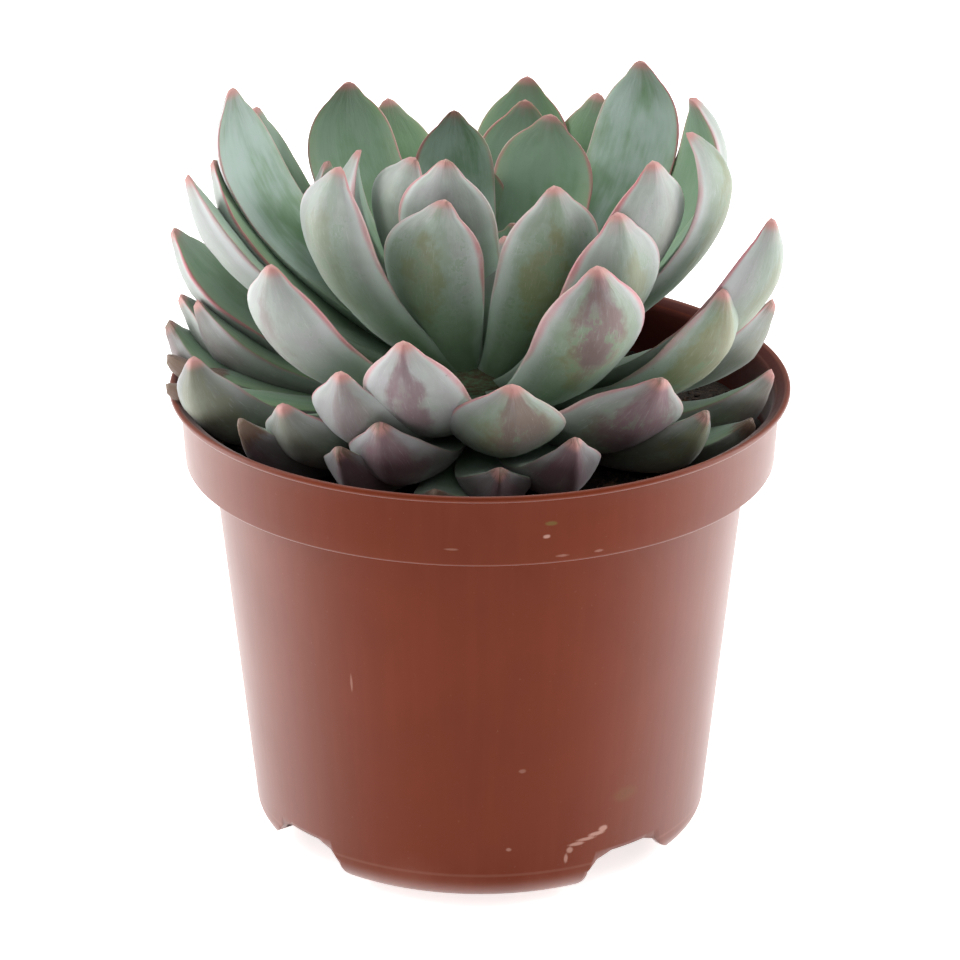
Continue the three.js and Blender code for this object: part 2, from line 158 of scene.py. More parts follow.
# Leaves that lean out of the spiral's order, by number: turn about the stem, lift (degrees),
# reach (mm), roll about the leaf's own length (degrees), width (mm), bow (degrees) and
# sideways sway of the tip (mm).
LEANING_LEAVES = {
    -5: (0, 0, -21, 0, -9, 0, 0),
    -4: (0, 0, -18, 0, -8, 0, 0),
    -3: (0, 0, -15, 0, -6.5, 0, 0),
    -2: (0, 0, -12, 0, -5, 0, 0),
    -1: (0, 0, -9, 0, -4, 0, 0),
    2: (0, 0, -5, 0, 0, 0, 0),
    3: (-11, -3.5, 12, 3, 2, 0, 0),
    4: (-13, -1, 9, -6, -1.5, 0, 0),
    5: (0, 0, -8, 0, 0, 0, 0),
    6: (-7, 2, 2, 25, 2, 10, 0),
    7: (5, -14, 6, 0, 1, 0, 0),
    8: (0, 0, -13, 0, 0, 0, 0),
    9: (11, -12, -2, -5, 0, 10, 0),
    10: (0, 0, -16, 0, 0, 0, 0),
    11: (1, -3.5, -5, 4, 2, 5, 5),
    12: (0, 0, -12, 0, 0, 0, 0),
    13: (1, -10, 4, -20, 1.5, 0, 0),
    14: (-9, 1, -8, 0, -1, 0, 0),
    15: (5, 2, -8, 5, 2.5, -20, 0),
    17: (-5, -8, 0, -12, 0, 8, 0),
    18: (0, 0, -24, 0, 0, 0, 0),
    19: (-2, -1, -4, 5, 1, 12, 0),
    20: (-5, -6, -2, 0, 0, -15, 0),
    21: (-5, 4, -8, -8, 0.5, -10, 0),
    22: (-1, -6, 7, -17, 0, -5, 0),
    23: (7, 2, 3.5, 22, 0, 0, 0),
    25: (-1, -7, -3, 0, -1, -15, 0),
    26: (9, 2, 2, 5, 0.5, 32, 0),
    27: (-14, -10, 3, 5, 0, -22, 0),
    28: (-6, 1, -3, 0, -1, -10, 0),
    30: (5, -2, 2, 0, 0, 0, 0),
    31: (1, 7, 3, 12, 0, 16, 0),
    32: (-9, -8, -3, 12, 1, 0, 0),
    34: (-5, 7, -6, -15, 1, 5, 0),
    35: (-8, -1, 0, 0, 0, -25, 0),
    36: (10, 0, -4, 0, 0, 0, 0),
    37: (-9, -10, -5, 8, -0.5, 0, 0),
    38: (-5, -4, -6, 0, 0, 0, 0),
    39: (-9, -2, 4.5, -20, 0, 0, 0),
    42: (6, 6.5, -3, -14, 2, 0, -3),
    43: (13, -6, 2, -3, 0, -15, 0),
    45: (-3, -8, -6, 4, 0, 8, 0),
    47: (1, 1, -1, -18, 0, 5, 0),
    48: (-17, -10, -2, 4, 0, -15, 0),
    50: (0, -3, -4, -8, 3, 0, 0),
    52: (-7, -3, 0, -14, 0, -12, 0),
    53: (3, -8.5, -4, 20, 1, 5, 0),
    55: (-6.5, -0.8, -3, -28, 3, 0, 5.8),
    56: (9, 0, -0.5, 12, -1, -10, 0),
    58: (-6.5, -3, -2, 8, 1, 5, 0),
    60: (3, -5, 0, -18, -1, 0, 0),
    61: (-1, 0, 3, 40, 2, 25, 0),
    63: (0, -1, -3, 0, 0, 10, 0),
    65: (6, 0, -17, -15, 0, 0, 0),
    66: (5, -1, -3, 6, 0, 0, 0),
    68: (-1.5, 3, -2, -16, 1, 0, 0),
    69: (-6, 6, 3, 0, 1, 0, 0),
    71: (5, 2, -5, -3, 0, 0, 0),
    73: (7, -2, 0, 0, 1, 0, 0),
    74: (3, 7, 0, 8, 0, 0, 0),
    77: (18.5, 9.5, 1.6, 14, 0.5, -20, 0),
    79: (12, 5, -6, 0, -2, 0, 0),
    81: (2, 9, 1, 0, 0, 0, 0),
    82: (-2, 13.1, 2.6, 14, 0, -28, 0),
}
UPRIGHT = (0, 0, 0, 0, 0, 0, 0)

# Share of a leaf's length that has withered, by number.
WITHERED_TIPS = {58: 0.03, 66: 0.04, 71: 0.03, 77: 0.2, 82: 0.16}

# Marks on the pot's outside: azimuth (degrees), height, half width and half height (mm), and
# how strongly the mark shows.
PALE_MARKS = (
    (-77.6, 72.6, 0.45, 0.35, 0.6),
    (-95.3, 70.7, 0.9, 0.2, 0.2),
    (-74.5, 68.9, 0.8, 0.25, 0.25),
    (-67.3, 68.9, 0.6, 0.25, 0.25),
    (-120.1, 41.2, 0.2, 1.6, 0.25),
    (-80.1, 26.7, 0.6, 0.4, 0.2),
    (-83.0, 11.6, 0.45, 0.35, 0.3),
    (-68.3, 8.7, 0.35, 0.9, 0.45),
    (-67.4, 10.2, 0.6, 0.6, 0.45),
    (-65.6, 11.1, 1.5, 0.35, 0.5),
    (-63.0, 11.7, 1.8, 0.35, 0.5),
    (-60.2, 12.3, 1.6, 0.4, 0.55),
    (-58.4, 13.0, 0.9, 0.6, 0.55),
)
GREEN_MARKS = (
    (-76.7, 74.9, 0.8, 0.4, 0.5),
    (-52.5, 18.6, 2.6, 1.4, 0.15),
)

# How far three stains show on a leaf's outer face, 0 to 1, by number: the olive patch on its
# belly, the purple one towards its tip and the pink flush of its margins.
STAINED_LEAVES = {
    3: (0.1, 0.0, 0.8),
    11: (0.7, 0.1, 0.9),
    13: (0.2, 0.0, 0.9),
    19: (0.4, 0.0, 0.9),
    21: (0.9, 0.0, 0.7),
    26: (0.7, 0.0, 0.6),
    31: (0.1, 0.0, 0.7),
    32: (0.2, 0.5, 0.6),
    34: (0.6, 0.0, 0.9),
    37: (0.1, 0.9, 0.8),
    39: (0.5, 0.0, 0.3),
    42: (1.0, 0.85, 1.0),
    45: (0.1, 0.5, 0.2),
    47: (0.9, 0.2, 0.8),
    50: (1.0, 0.7, 0.3),
    53: (0.3, 0.1, 0.1),
    55: (0.5, 1.0, 0.5),
    58: (0.0, 1.0, 0.1),
    61: (0.4, 0.0, 0.1),
    63: (0.0, 0.9, 0.2),
    66: (0.0, 0.9, 0.0),
    68: (0.7, 0.1, 0.1),
    71: (0.0, 0.8, 0.0),
    74: (0.0, 0.7, 0.0),
}

# How thick the pale bloom lies on a leaf's upper face, 0 to 1, by number.
BLOOMED_LEAVES = {
    1: 0.7, 4: 0.9, 10: 0.8, 14: 0.7, 15: 0.35, 17: 0.35,
    18: 0.7, 20: 0.2, 22: 1.0, 23: 1.0, 25: 0.0, 28: 0.0,
}


def mix(low, high, share):
    return low + (high - low) * share


def clamp01(value):
    return max(0.0, min(1.0, value))


def smooth(value):
    share = clamp01(value)
    return share * share * (3 - 2 * share)


# ---- Sizes and colours that a user would change ---------------------------------------------
def colour_property(name, description, default):
    return FloatVectorProperty(
        name=name, description=description, default=default, subtype="COLOR", min=0, max=1
    )


def length_property(name, description, default):
    return FloatProperty(
        name=name, description=description, default=default, unit="LENGTH", precision=5, min=0
    )


class PotSettings(bpy.types.PropertyGroup):
    """The pot's sizes and colours."""

    lip_radius: length_property("Lip radius", "Outer radius of the lip", POT_HIGH.x)
    height: length_property("Height", "From the feet to the lip", POT_HIGH.z)
    wall: length_property("Wall", "Thickness of the moulded wall", 0.0012)
    plastic: colour_property("Plastic", "Colour of the plastic", (0.141, 0.0222, 0.0054))
    faded: colour_property("Faded", "Colour of the plastic's paler streaks", (0.16, 0.028, 0.0085))
    # The Inside colour is painted shade for the inside wall and the lip's inner flare, not a colour of
    # the plastic.
    shaded: colour_property("Inside", "Colour of the shadowed inside wall", (0.07, 0.016, 0.013))
    dust: colour_property("Dust", "Colour of dry splashes and scuffs", (0.55, 0.33, 0.27))
    algae: colour_property("Algae", "Colour of the green smudges", (0.13, 0.12, 0.03))


class MediumSettings(bpy.types.PropertyGroup):
    """The growing medium's sizes and colours."""

    level: length_property("Level", "Height of the surface", SOIL_Z * MM)
    lumps: length_property("Lumps", "Height of the surface's lumps", 0.0011)
    crumbs: FloatProperty(
        name="Crumbs", description="Loose crumbs for each square metre", default=300000, min=0
    )
    seed: IntProperty(name="Seed", description="Seed of the scattered crumbs", default=7)
    dark: colour_property("Dark", "Colour of the moist medium", (0.018, 0.013, 0.010))
    light: colour_property("Light", "Colour of its drier fibres", (0.09, 0.052, 0.032))
    bark: colour_property("Bark", "Colour of the bits of bark", (0.17, 0.085, 0.045))
    perlite: colour_property("Perlite", "Colour of the mineral grains", (0.62, 0.6, 0.55))
    dirty: colour_property("Dirty perlite", "Colour of the grains' dirt", (0.3, 0.27, 0.23))


class RosetteSettings(bpy.types.PropertyGroup):
    """The leaves' sizes and colours."""

    sides: IntProperty(name="Sides", description="Faces round a leaf", default=28, min=8)
    rings: IntProperty(name="Rings", description="Rings of faces along a leaf", default=36, min=8)
    mucro: length_property("Mucro", "Length of the point at a leaf's tip", 0.0014)
    seed: IntProperty(name="Seed", description="Seed of the leaves' small differences", default=3)
    upper: colour_property("Upper face", "Green of the upper faces", (0.125, 0.235, 0.115))
    young: colour_property("Edge green", "Yellower green near the margins", (0.24, 0.33, 0.16))
    bloom: colour_property("Bloom", "Colour of the bloom's streaks", (0.40, 0.50, 0.47))
    dusk: colour_property("Dusk", "Grey-brown of old leaves and of tips", (0.135, 0.118, 0.122))
    lower: colour_property("Outer face", "Colour of the outer faces", (0.295, 0.33, 0.295))
    green: colour_property("Base green", "Green of the outer faces' lower part", (0.16, 0.24, 0.14))
    lilac: colour_property("Lilac", "Cool tint of the outer faces", (0.30, 0.272, 0.30))
    # This is the bloom's colour, and also the colour of a painted highlight along the outer faces'
    # margins.
    powder_and_rim_light: colour_property("Powder", "Colour of the thickest bloom", (0.60, 0.64, 0.64))
    margin: colour_property("Margin", "Colour of the leaf margins", (0.47, 0.14, 0.165))
    olive: colour_property("Olive", "Colour of the belly patches", (0.19, 0.19, 0.08))
    purple: colour_property("Purple", "Colour of the older leaves' stains", (0.155, 0.085, 0.10))
    mucro_colour: colour_property("Point", "Colour of the leaf's point", (0.42, 0.20, 0.18))
    scar: colour_property("Scar", "Colour of small scars", (0.20, 0.17, 0.13))
    withered: colour_property("Withered", "Colour of withered tips", (0.14, 0.085, 0.055))


class StageSettings(bpy.types.PropertyGroup):
    """The camera, lights and floor."""

    distance: length_property("Distance", "From the camera to its target", 0.96945)
    target_height: length_property("Target height", "Height the camera looks at", 0.06252)
    elevation: FloatProperty(
        name="Elevation",
        description="Angle of the camera above the level",
        default=math.radians(22.11),
        subtype="ANGLE",
    )
    lens: FloatProperty(name="Lens", description="Focal length in millimetres", default=213.51)
    floor: colour_property("Floor", "Colour of the floor", (0.93, 0.93, 0.93))
    glow: FloatProperty(
        name="Glow", description="Light that comes through the floor", default=0.75, min=0
    )


# ---- Values in node trees -------------------------------------------------------------------
class Value:
    """An output of a node tree, which Python's operators join to new Math nodes."""

    def __init__(self, graph, socket):
        self.graph = graph
        self.socket = socket

    def __add__(self, other):
        return self.graph.join("ADD", self, other)

    def __sub__(self, other):
        return self.graph.join("SUBTRACT", self, other)

    def __rsub__(self, other):
        return self.graph.join("SUBTRACT", other, self)

    def __mul__(self, other):
        return self.graph.join("MULTIPLY", self, other)

    def __truediv__(self, other):
        return self.graph.join("DIVIDE", self, other)

    def __pow__(self, other):
        return self.graph.join("POWER", self, other)

    @property
    def is_vector(self):
        return self.socket.type in {"VECTOR", "RGBA"}


class Graph:
    """Adds nodes to a shader or geometry tree and links them."""

    def __init__(self, tree):
        self.tree = tree

    def feed(self, socket, value):
        if isinstance(value, Value):
            self.tree.links.new(value.socket, socket)
        elif socket.type == "RGBA" and len(value) == 3:
            socket.default_value = (*value, 1)
        else:
            socket.default_value = value

    def node(self, kind, inputs=None, output=0, **settings):
        """A new node with its settings and inputs, given as the Value of one of its outputs."""
        node = self.tree.nodes.new(kind)
        for name, setting in settings.items():
            setattr(node, name, setting)
        for key, value in (inputs or {}).items():
            self.feed(node.inputs[key], value)
        return Value(self, node.outputs[output])

    def join(self, operation, first, second):
        vectors = [isinstance(x, Value) and x.is_vector for x in (first, second)]
        if vectors == [True, False] and operation == "MULTIPLY" and not isinstance(second, tuple):
            return self.node(
                "ShaderNodeVectorMath", {0: first, "Scale": second}, operation="SCALE"
            )
        kind = "ShaderNodeVectorMath" if any(vectors) else "ShaderNodeMath"
        return self.node(kind, {0: first, 1: second}, operation=operation)

    def math(self, operation, *values):
        return self.node("ShaderNodeMath", dict(enumerate(values)), operation=operation)

    def ease(self, value, low, high):
        """0 below low and 1 above high, or the other way round where low is the higher."""
        swapped = low > high
        ends = {"Value": value, "From Min": min(low, high), "From Max": max(low, high)}
        ends["To Min"] = 1.0 if swapped else 0.0
        ends["To Max"] = 0.0 if swapped else 1.0
        return self.node("ShaderNodeMapRange", ends, interpolation_type="SMOOTHSTEP")

    def blend(self, share, first, second):
        """The first colour, going to the second as share goes from 0 to 1."""
        inputs = {0: share, 6: first, 7: second}
        return self.node("ShaderNodeMix", inputs, 2, data_type="RGBA")

    def noise(self, vector, scale, detail, roughness=0.5):
        inputs = {"Vector": vector, "Scale": scale, "Detail": detail, "Roughness": roughness}
        return self.node("ShaderNodeTexNoise", inputs)

    def vector(self, x, y, z):
        return self.node("ShaderNodeCombineXYZ", {0: x, 1: y, 2: z})


# ---- Materials --------------------------------------------------------------------------------
def new_material(name):
    """A material with its node tree emptied: the graph, and a function that ends it."""
    material = bpy.data.materials.new(name)
    material.use_nodes = True
    tree = material.node_tree
    tree.nodes.clear()
    graph = Graph(tree)

    def finish(surface_inputs, height=None, bump=0.3, reach=0.001):
        shader = tree.nodes.new("ShaderNodeBsdfPrincipled")
        for key, value in surface_inputs.items():
            graph.feed(shader.inputs[key], value)
        if height is not None:
            inputs = {"Strength": bump, "Distance": reach, "Height": height}
            graph.feed(shader.inputs["Normal"], graph.node("ShaderNodeBump", inputs))
        output = tree.nodes.new("ShaderNodeOutputMaterial")
        tree.links.new(shader.outputs[0], output.inputs["Surface"])
        return material

    return graph, finish


def object_point(graph):
    """The shaded point in millimetres."""
    return graph.node("ShaderNodeTexCoord", output="Object") * 1000.0


def split(graph, vector):
    """The vector's three parts."""
    node = graph.tree.nodes.new("ShaderNodeSeparateXYZ")
    graph.feed(node.inputs[0], vector)
    return [Value(graph, output) for output in node.outputs]


def marks(graph, turn, z, ragged, table):
    """1 inside any of the pot's marks, fading to 0 outside them."""
    total = 0.0
    for azimuth, height, half_width, half_height, strength in table:
        across = (turn - math.radians(azimuth)) * (BODY_BASE_RADIUS / half_width)
        up = (z - height) / half_height
        distance = graph.math("SQRT", across * across + up * up) + ragged
        total = graph.ease(distance, 1.25, 0.55) * strength + total
    return total


def pot_material(settings):
    """Thin plastic, glossier seen edge on, dusted over, with scuffs, splashes and a mould line, and
    painted shade on the inside wall and the lip's inner flare.
    """
    graph, finish = new_material("pot_plastic")
    point = object_point(graph)
    x, y, z = split(graph, point)
    turn = graph.math("ARCTAN2", y, x)
    radius = graph.math("SQRT", x * x + y * y)
    cloudy = graph.noise(point, 0.05, 4.0, 0.6)
    streaks = graph.noise(graph.vector(turn * 40.0, z * 0.06, radius * 0.2), 0.5, 3.0, 0.6)
    speckle = graph.noise(point, 1.6, 4.0, 0.7)
    ragged = (graph.noise(point, 1.1, 4.0, 0.65) - 0.5) * 0.8
    dark = tuple(c * 0.9 for c in settings.plastic)
    colour = graph.blend(graph.ease(cloudy, 0.3, 0.7), settings.plastic, dark)
    colour = graph.blend(graph.ease(streaks, 0.4, 0.8) * 0.35, colour, settings.faded)
    mould_line = graph.ease(graph.math("ABSOLUTE", z - HEEL_UP - MOULD_LINE_UP), 0.35, 0.1) * 0.07
    pale = marks(graph, turn, z, ragged, PALE_MARKS) + mould_line
    grains = graph.ease(speckle, 0.66, 0.74) * 0.35
    dusty = graph.ease(z + cloudy * 14.0, 16.0, 4.0) * 0.12
    # Painted shade: the inside wall above the band's base and the top of the lip's inner flare take
    # the dark Inside colour.
    inside = graph.ease(radius - z * 0.0535, 46.0, 45.5) * graph.ease(z, 67.9, 68.4)
    flare = graph.ease(radius, 51.7, 51.3) * graph.ease(z, 79.5, 79.8)
    inside = graph.math("MAXIMUM", inside, flare)
    colour = graph.blend(clamped(graph, pale + grains * 0.3 + dusty), colour, settings.dust)
    colour = graph.blend(marks(graph, turn, z, ragged, GREEN_MARKS), colour, settings.algae)
    colour = graph.blend(inside * 0.9, colour, settings.shaded)
    facing = graph.node("ShaderNodeLayerWeight", {"Blend": 0.5}, "Facing")
    height = speckle * 0.3 + cloudy * 2.0 + streaks * 0.8
    return finish(
        {
            "Base Color": colour,
            "Roughness": graph.ease(cloudy, 0.2, 0.8) * 0.08 + pale * 0.2 + 0.4,
            "Specular IOR Level": 0.12,
            "Sheen Weight": 0.3,
            "Sheen Roughness": 0.3,
            "Sheen Tint": (1.0, 0.93, 0.92, 1.0),
            # No gloss where the inside wall has painted shade.
            "Coat Weight": graph.ease(facing, 0.13, 0.55) * (0.75 - inside * 0.75),
            "Coat Roughness": 0.42,
        },
        height,
        bump=0.2,
        reach=0.0002,
    )


def medium_material(settings):
    """Moist peat, nearly black, with drier brown fibres."""
    graph, finish = new_material("growing_medium")
    point = object_point(graph)
    fibres = graph.noise(point, 1.4, 6.0, 0.7)
    lumps = graph.noise(point, 0.35, 4.0, 0.6)
    share = graph.ease(fibres * 0.6 + lumps * 0.4, 0.46, 0.7)
    colour = graph.blend(share, settings.dark, settings.light)
    return finish({"Base Color": colour, "Roughness": 0.9}, fibres, bump=0.9, reach=0.0008)


def crumb_material(settings):
    """Crumbs of peat, bits of bark and grains of perlite, by the kind that each crumb is."""
    graph, finish = new_material("crumbs")
    point = object_point(graph)
    kind = attribute(graph, "kind")
    grain = graph.noise(point, 2.4, 4.0, 0.7)
    peat = graph.blend(graph.ease(grain, 0.4, 0.7), settings.dark, settings.light)
    bark = graph.blend(graph.ease(grain, 0.35, 0.65), settings.light, settings.bark)
    colour = graph.blend(graph.math("GREATER_THAN", kind, BARK_FROM), peat, bark)
    perlite = graph.blend(graph.ease(grain, 0.3, 0.7), settings.perlite, settings.dirty)
    colour = graph.blend(graph.math("GREATER_THAN", kind, PERLITE_FROM), colour, perlite)
    return finish({"Base Color": colour, "Roughness": 0.85}, grain, bump=0.6, reach=0.0003)


def attribute(graph, name):
    """A number that is stored on the mesh."""
    return graph.node("ShaderNodeAttribute", output="Fac", attribute_name=name)


def leaf_material(settings):
    """A waxy leaf: green under a powdery bloom, with stains, streaks and pink margins, painted shade
    towards the upper face's root and a painted highlight along the outer face's margins.
    """
    graph, finish = new_material("leaf")
    s = attribute(graph, "along")
    u = attribute(graph, "across")
    luck = attribute(graph, "luck")
    age = attribute(graph, "age")
    outer = graph.ease(attribute(graph, "facing"), 0.12, -0.12)
    edge = graph.math("ABSOLUTE", u)
    point = object_point(graph)
    leaf_point = graph.vector(s * 34.0, u * 8.0 + luck * 70.0, outer * 9.0)
    streak_point = graph.vector(s * 9.0, u * 10.0 + luck * 50.0, outer * 5.0)
    cloudy = graph.noise(leaf_point, 0.12, 3.0, 0.55)
    patchy = graph.noise(leaf_point, 0.3, 5.0, 0.62)
    streaky = graph.noise(streak_point, 0.75, 4.0, 0.6)
    speckle = graph.noise(point, 1.7, 4.0, 0.65)

    # Painted shade: the upper face darkens to under half its green towards the leaf's root, deep in
    # the rosette.
    painted_root_shade = tuple(c * 0.45 for c in settings.upper)
    upper = graph.blend(graph.ease(s + cloudy * 0.3, 0.1, 0.6), painted_root_shade, settings.upper)
    upper = graph.blend(graph.ease(edge + patchy * 0.3, 0.75, 1.1) * 0.5, upper, settings.young)
    upper_bloom = graph.ease(streaky * 0.2 + cloudy * 0.8, 0.3, 0.62) * 0.8
    upper_bloom = upper_bloom * graph.ease(s, 0.2, 0.6) * attribute(graph, "bloom")
    upper = graph.blend(upper_bloom, upper, settings.bloom)
    dusk = graph.ease(s + patchy * 0.16, 0.94, 1.1) * 0.3
    upper = graph.blend(dusk, upper, settings.dusk)

    olive = attribute(graph, "olive")
    stain = attribute(graph, "stain")
    lower = graph.blend(graph.ease(s + cloudy * 0.35, 0.3, 0.85), settings.green, settings.lower)
    tint = clamped(graph, graph.ease(cloudy, 0.4, 0.7) * 0.6 + stain * 0.4)
    lower = graph.blend(tint * graph.ease(s, 0.4, 0.7), lower, settings.lilac)
    lower = graph.blend(graph.ease(age, 0.4, 0.8) * 0.95, lower, settings.dusk)
    plump = graph.ease(age, 0.4, 0.6)
    aside = (u + (luck - 0.5) * 0.5) * (2.0 - plump * 0.8)
    lower_down = s - plump * 0.13
    below = (lower_down - 0.68) * 3.8
    ring = graph.math("SQRT", aside * aside + below * below) + (patchy - 0.5) * 1.4
    above = (lower_down - 0.78) * 3.6
    core = graph.math("SQRT", aside * aside + above * above) + (patchy - 0.5) * 1.2
    lower = graph.blend(graph.ease(ring, 1.6, 0.9) * olive * 0.65, lower, settings.green)
    lower = graph.blend(graph.ease(ring, 0.95, 0.6) * olive * 0.8, lower, settings.olive)
    stained = graph.ease(core - stain * 0.6, 0.45, 0.0) * stain
    lower = graph.blend(stained * 0.95, lower, settings.purple)
    # The pale margins are partly thick bloom and partly a painted highlight in place of rim light; the
    # pale patches are bloom only.
    powder_and_rim_light = graph.ease(edge + cloudy * 0.25, 0.85, 1.1) * 0.7 + graph.ease(patchy, 0.4, 0.75) * 0.25
    lower = graph.blend(clamped(graph, powder_and_rim_light * (1.0 - age * 0.95)), lower, settings.powder_and_rim_light)
    rubbed = graph.ease(graph.noise(leaf_point, 0.3, 6.0, 0.75), 0.54, 0.59)
    rubbed = rubbed * graph.ease(edge, 0.95, 0.7) * graph.ease(s, 0.95, 0.85)
    lower = graph.blend(rubbed * (olive * 0.5 + 0.15), lower, settings.green)
    scratched = graph.noise(graph.vector(s * 16.0, u * 26.0 + luck * 90.0, outer * 3.0), 1.2, 4.0, 0.7)
    lower = graph.blend(graph.ease(scratched, 0.55, 0.75) * 0.2, lower, settings.powder_and_rim_light)

    colour = graph.blend(outer, upper, lower)
    flush = attribute(graph, "flush")
    width = graph.ease(s, 0.4, 0.95) * (flush * 0.09 + 0.015)
    inset = (edge + (streaky - 0.5) * 0.05 + width - 1.0) / width
    margin = graph.ease(inset, -0.5, 0.6) * graph.ease(s, 0.3, 0.7)
    uneven = graph.ease(u * (luck - 0.5) * 4.0, -0.8, 0.8) * 0.55 + graph.ease(patchy, 0.3, 0.6) * 0.45
    margin = margin * (uneven * 0.8 + 0.2) * (1.0 - graph.ease(age, 0.5, 0.8) * 0.55)
    cap = graph.ease(s + (patchy - 0.5) * 0.06, 0.955, 0.985) * (flush * 0.8 + 0.2)
    pink = graph.blend(graph.ease(age, 0.7, 0.95), settings.margin, settings.purple)
    colour = graph.blend(clamped(graph, margin * 0.9 + cap * 0.2), colour, pink)
    scars = graph.ease(graph.noise(point, 0.55, 5.0, 0.7), 0.69, 0.73) * 0.6
    colour = graph.blend(scars, colour, settings.scar)
    mucro = graph.ease(s, 0.976, 0.992)
    colour = graph.blend(mucro, colour, settings.mucro_colour)
    dry = graph.ease(s + patchy * 0.12 + attribute(graph, "dry"), 1.07, 1.1)
    colour = graph.blend(dry, colour, settings.withered)
    height = streaky * 0.5 + patchy * 0.6 + speckle * 0.12 + dry * patchy * 3.0
    return finish(
        {
            "Base Color": colour,
            "Roughness": graph.ease(patchy, 0.2, 0.8) * 0.14 + 0.46,
            "Specular IOR Level": 0.45,
            "Sheen Weight": 0.22,
            "Sheen Roughness": 0.5,
            "Sheen Tint": (0.93, 0.96, 1.0, 1.0),
            "Subsurface Weight": 0.1,
            "Subsurface Radius": (0.5, 1.0, 0.35),
            "Subsurface Scale": 0.0022,
        },
        height,
        bump=0.22,
        reach=0.0006,
    )


def stem_material(settings):
    """The old stem, brown and scarred where leaves have dropped off."""
    graph, finish = new_material("stem")
    point = object_point(graph)
    bark = graph.noise(point * (1.0, 1.0, 3.0), 0.8, 5.0, 0.7)
    colour = graph.blend(graph.ease(bark, 0.35, 0.65), settings.withered, settings.green)
    return finish({"Base Color": colour, "Roughness": 0.8}, bark, bump=0.7, reach=0.0006)


# ---- Meshes -----------------------------------------------------------------------------------
def corner(centre, across, up, start, end, steps):
    """Points of a round corner, from one direction to another, both in degrees. It may be
    wider than it is high."""
    points = []
    for i in range(steps + 1):
        angle = math.radians(mix(start, end, i / steps))
        points.append((centre[0] + across * math.cos(angle), centre[1] + up * math.sin(angle)))
    return points


def subdivided(profile, step):
    """The profile with its long straight stretches cut to a step of at most that length."""
    points = [profile[0]]
    for start, end in zip(profile, profile[1:]):
        count = max(1, math.ceil(math.dist(start, end) / step))
        points += [
            (mix(start[0], end[0], i / count), mix(start[1], end[1], i / count))
            for i in range(1, count + 1)
        ]
    return points


def revolve(name, profile, segments, centre=(0.0, 0.0)):
    """A closed mesh turned about Z, from (radius, z) points in millimetres that run from the
    axis back to the axis, anticlockwise seen with the axis on the left."""
    mesh = bpy.data.meshes.new(name)
    made = bmesh.new()
    rings = []
    for radius, z in profile:
        if radius < 1e-6:
            rings.append([made.verts.new((centre[0] * MM, centre[1] * MM, z * MM))] * segments)
            continue
        ring = []
        for i in range(segments):
            angle = 2 * math.pi * i / segments
            x = centre[0] + radius * math.cos(angle)
            y = centre[1] + radius * math.sin(angle)
            ring.append(made.verts.new((x * MM, y * MM, z * MM)))
        rings.append(ring)
    for low, high in zip(rings, rings[1:]):
        for i in range(segments):
            j = (i + 1) % segments
            corners = list(dict.fromkeys((low[i], low[j], high[j], high[i])))
            made.faces.new(corners)
    made.to_mesh(mesh)
    made.free()
    mesh.shade_smooth()
    return mesh


def add_object(name, mesh, material):
    piece = bpy.data.objects.new(name, mesh)
    bpy.context.scene.collection.objects.link(piece)
    if material is not None:
        mesh.materials.clear()
        mesh.materials.append(material)
    return piece


def finish_piece(piece, replaced):
    """The piece rides on the object's one body, and stands for the CAD node named."""
    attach(piece, BODY)
    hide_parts(replaced)


def applied(piece, name):
    """The piece's modifiers turned into a plain mesh on a new object, and the piece removed."""
    depsgraph = bpy.context.evaluated_depsgraph_get()
    mesh = bpy.data.meshes.new_from_object(piece.evaluated_get(depsgraph))
    mesh.name = name
    old = piece.data
    piece.modifiers.clear()
    bpy.data.objects.remove(piece)
    bpy.data.meshes.remove(old)
    return add_object(name, mesh, None)


# ---- Pot ------------------------------------------------------------------------------------
def body_radius(z):
    """Outer radius of the body at a height."""
    return mix(BODY_BASE_RADIUS, BODY_TOP_RADIUS, (z - HEEL_UP) / (BAND_BASE_Z - HEEL_UP))


def pot_profile(settings):
    """The moulded wall's outline, from the axis under the base round to the axis inside."""
    wall = settings.wall / MM
    top = settings.height / MM
    lip_radius = settings.lip_radius / MM
    lip = LIP_HEIGHT / 2
    heel = (BODY_BASE_RADIUS - HEEL_ACROSS, HEEL_UP)
    floor = BASE_Z + wall
    floor_corner = floor + FLOOR_CORNER
    floor_edge = body_radius(floor_corner) - wall - FLOOR_CORNER
    foot_outer = FOOT_INNER_RADIUS + FOOT_WIDTH
    outside = [
        (0, BASE_Z),
        (body_radius(BASE_Z) - wall, BASE_Z),
        *corner(heel, HEEL_ACROSS - wall, HEEL_UP - wall, 0, -79, 10),
        (FOOT_INNER_RADIUS, 0.2),
        (FOOT_INNER_RADIUS + 0.2, 0),
        (foot_outer, 0),
        *corner(heel, HEEL_ACROSS, HEEL_UP, -70, 0, 16),
        (BODY_TOP_RADIUS, BAND_BASE_Z - 0.4),
        *corner((BODY_TOP_RADIUS + 0.4, BAND_BASE_Z - 0.4), 0.4, 0.4, 180, 90, 4),
        *corner((BAND_BASE_RADIUS - 0.5, BAND_BASE_Z + 0.5), 0.5, 0.5, -90, 0, 5),
        *corner((BAND_TOP_RADIUS + 0.5, top - LIP_HEIGHT - 0.5), 0.5, 0.5, 180, 90, 4),
        *corner((lip_radius - lip, top - lip), lip, lip, -90, 115, 12),
    ]
    inside = [
        (BAND_TOP_RADIUS - wall + 0.5, top - LIP_FLARE + 0.7),
        (BAND_TOP_RADIUS - wall, top - LIP_FLARE - 0.3),
        (BAND_BASE_RADIUS - wall, BAND_BASE_Z + wall),
        (BODY_TOP_RADIUS - wall, BAND_BASE_Z + wall),
        *corner((floor_edge, floor_corner), FLOOR_CORNER, FLOOR_CORNER, 0, -90, 8),
        (0, floor),
    ]
    return subdivided(outside + inside, 3.0)


